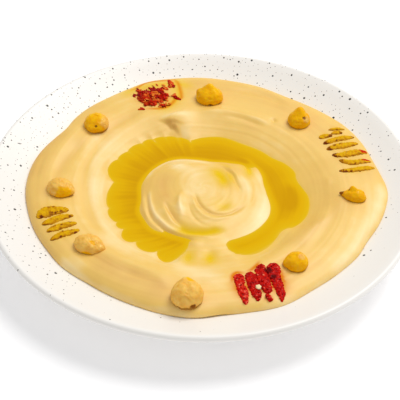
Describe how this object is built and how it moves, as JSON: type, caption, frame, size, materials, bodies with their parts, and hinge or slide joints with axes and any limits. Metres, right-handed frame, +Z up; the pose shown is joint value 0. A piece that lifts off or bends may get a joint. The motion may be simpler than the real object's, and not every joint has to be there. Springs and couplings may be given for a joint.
{
  "type": "plate of hummus",
  "caption": "Hummus spread on a round shallow stoneware plate: a ring round a swirled mound, with olive oil in the hollow, whole chickpeas and dabs of spice.",
  "frame": {"origin": "middle of the plate's foot ring, on the surface the plate stands on", "axes": "+Z up out of the plate, +X to the diner's right, +Y away from the diner"},
  "size_m": [0.2, 0.2, 0.0265],
  "materials": {
    "glazed_stoneware": "satin cream-white glaze with fine brown speckles",
    "hummus": "smooth moist paste, spooned, with a soft sheen",
    "olive_oil": "clear golden liquid, mirror-smooth",
    "red_chilli": "dried, crushed chilli in oil",
    "ground_spice": "ground ochre spice in oil",
    "chickpea": "boiled seed, moist, softly shining skin"
  },
  "bodies": {
    "root": {"plate": "glazed_stoneware", "hummus": "hummus", "oil_pool": "olive_oil", "chickpea_1": "chickpea", "chickpea_2": "chickpea", "chickpea_3": "chickpea", "chickpea_4": "chickpea", "chickpea_5": "chickpea", "chickpea_6": "chickpea", "chickpea_7": "chickpea", "chickpea_8": "chickpea"}
  },
  "joints": []
}
